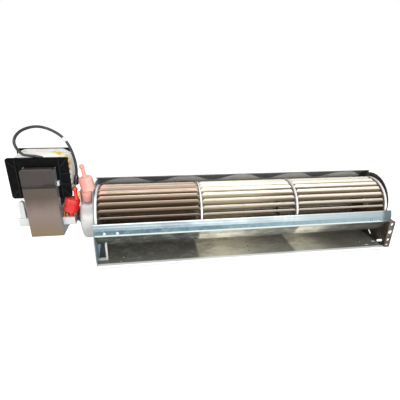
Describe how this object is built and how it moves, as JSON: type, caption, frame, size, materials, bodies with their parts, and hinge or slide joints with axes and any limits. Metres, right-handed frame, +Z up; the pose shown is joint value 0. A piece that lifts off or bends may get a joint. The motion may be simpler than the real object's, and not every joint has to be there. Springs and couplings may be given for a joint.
{
  "type": "blower motor",
  "caption": "Tangential blower: a long bladed wheel between end plates in a sheet scroll with a front outlet, turned by a shaded-pole motor at its left end.",
  "frame": {"origin": "centre of the base of the overall box, at the lower edge of the floor's lip", "axes": "X runs along the wheel from the motor to the far end, Y points to the back of the scroll, away from the outlet, and Z points up"},
  "size_m": [0.3868, 0.0768, 0.1344],
  "materials": {
    "galvanised": "galvanised sheet, dull and slightly wavy",
    "rail_sheet": "galvanised sheet with a blue-grey sheen",
    "cup_sheet": "light drawn sheet, satin",
    "wheel_sheet": "bright cut sheet",
    "blade_sheet": "warm satin sheet",
    "core_steel": "stacked sheets under thin varnish",
    "cast_bridge": "die cast, bright",
    "bright_steel": "plated steel",
    "brass": "turned brass",
    "bearing_bronze": "sintered bronze",
    "copper": "bare copper",
    "bobbin_plastic": "black filled nylon",
    "coil_tape": "white woven tape with yellowed patches",
    "pink_rubber": "soft pale silicone",
    "red_rubber": "soft red silicone",
    "black_rubber": "black rubber",
    "lead_black": "black insulated lead"
  },
  "bodies": {
    "housing": {"scroll_wall": "galvanised", "tongue_rail": "rail_sheet", "left_end_plate": "galvanised", "right_end_plate": "galvanised", "outlet_bracket": "galvanised", "motor_cup": "cup_sheet", "tail_bearing": "bearing_bronze", "tail_bearing_rubber": "black_rubber", "housing_rivets": "bright_steel", "stator_core": "core_steel", "coil_bar": "core_steel", "bobbin": "bobbin_plastic", "taped_coil": "coil_tape", "shading_rings": "copper", "inner_bridge": "cast_bridge", "outer_bridge": "cast_bridge", "inner_bearing": "bearing_bronze", "outer_bearing": "bearing_bronze", "bridge_screws": "bright_steel", "top_isolator": "pink_rubber", "low_isolator": "red_rubber", "brass_screws": "brass", "coil_terminal": "brass", "lead_sleeve": "lead_black", "motor_lead": "lead_black"},
    "wheel": {"wheel_left_disc": "wheel_sheet", "wheel_right_disc": "wheel_sheet", "wheel_ring_1": "wheel_sheet", "wheel_ring_2": "wheel_sheet", "drive_hub": "black_rubber", "rotor_shaft": "bright_steel", "rotor_core": "core_steel", "tail_pin": "bright_steel", "blade_01": "blade_sheet", "blade_02": "blade_sheet", "blade_03": "blade_sheet", "blade_04": "blade_sheet", "blade_05": "blade_sheet", "blade_06": "blade_sheet", "blade_07": "blade_sheet", "blade_08": "blade_sheet", "blade_09": "blade_sheet", "blade_10": "blade_sheet", "blade_11": "blade_sheet", "blade_12": "blade_sheet", "blade_13": "blade_sheet", "blade_14": "blade_sheet", "blade_15": "blade_sheet", "blade_16": "blade_sheet", "blade_17": "blade_sheet", "blade_18": "blade_sheet", "blade_19": "blade_sheet", "blade_20": "blade_sheet", "blade_21": "blade_sheet", "blade_22": "blade_sheet", "blade_23": "blade_sheet", "blade_24": "blade_sheet", "blade_25": "blade_sheet", "blade_26": "blade_sheet"}
  },
  "joints": [
    {"name": "wheel_spin", "type": "hinge", "parent": "housing", "child": "wheel", "pos_m": [0.0321, -0.00135, 0.0434], "axis": [1, 0, 0], "continuous": true}
  ]
}
